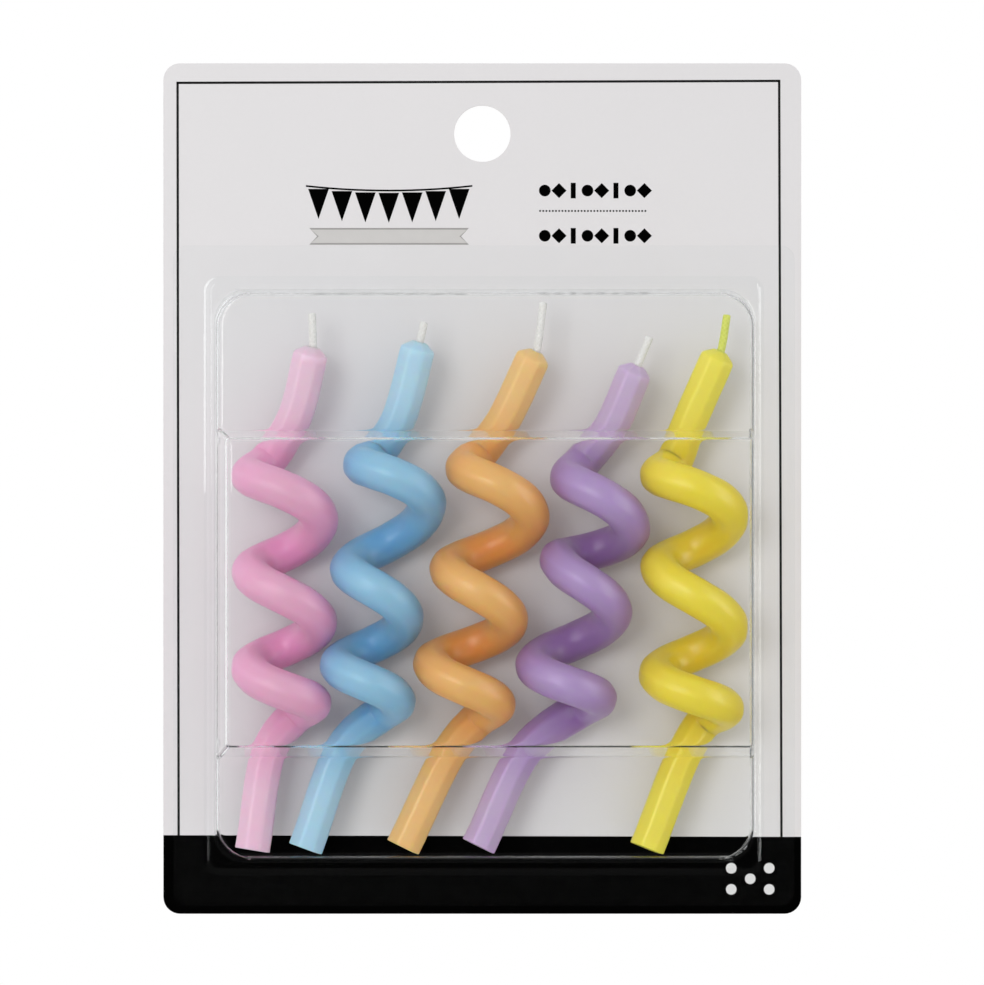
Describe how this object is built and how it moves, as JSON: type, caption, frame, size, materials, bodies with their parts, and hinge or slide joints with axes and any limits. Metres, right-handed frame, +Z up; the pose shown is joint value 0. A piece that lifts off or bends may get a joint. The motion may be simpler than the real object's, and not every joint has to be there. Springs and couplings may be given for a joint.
{
  "type": "birthday candle pack",
  "caption": "Spiral wax birthday candles with cotton wicks, side by side in a clear formed blister sealed to a backing card with a round hang hole.",
  "frame": {"origin": "centre of the round hang hole, on the back face of the backing card", "axes": "+Z up along the card's height, -Y towards the viewer out of the card's front, +X to the viewer's right"},
  "size_m": [0.1142, 0.0206, 0.1524],
  "materials": {
    "board": "coated board, satin",
    "clear_sheet": "clear thermoformed sheet, gloss",
    "wax_pink": "drawn wax, satin",
    "wax_blue": "drawn wax, satin",
    "wax_orange": "drawn wax, satin",
    "wax_purple": "drawn wax, satin",
    "wax_yellow": "drawn wax, satin",
    "cotton": "braided cotton, waxed"
  },
  "bodies": {
    "card": {"backing_card": "board"},
    "blister": {"blister": "clear_sheet"},
    "candle_pink": {"candle_pink": "wax_pink", "wick_pink": "cotton"},
    "candle_blue": {"candle_blue": "wax_blue", "wick_blue": "cotton"},
    "candle_orange": {"candle_orange": "wax_orange", "wick_orange": "cotton"},
    "candle_purple": {"candle_purple": "wax_purple", "wick_purple": "cotton"},
    "candle_yellow": {"candle_yellow": "wax_yellow", "wick_yellow": "cotton"}
  },
  "joints": [
    {"name": "blister_peel", "type": "hinge", "parent": "card", "child": "blister", "pos_m": [0, -0.00095, -0.0201], "axis": [-1, 0, 0], "range_deg": [0, 100]},
    {"name": "candle_pink_play", "type": "slide", "parent": "card", "child": "candle_pink", "axis": [0, 0, 1], "range_m": [0, 0.0008]},
    {"name": "candle_blue_play", "type": "slide", "parent": "card", "child": "candle_blue", "axis": [0, 0, 1], "range_m": [0, 0.0004]},
    {"name": "candle_orange_play", "type": "slide", "parent": "card", "child": "candle_orange", "axis": [0, 0, 1], "range_m": [0, 0.0008]},
    {"name": "candle_purple_play", "type": "slide", "parent": "card", "child": "candle_purple", "axis": [0, 0, 1], "range_m": [0, 0.0015]},
    {"name": "candle_yellow_play", "type": "slide", "parent": "card", "child": "candle_yellow", "axis": [0, 0, 1], "range_m": [0, 0.0012]}
  ]
}
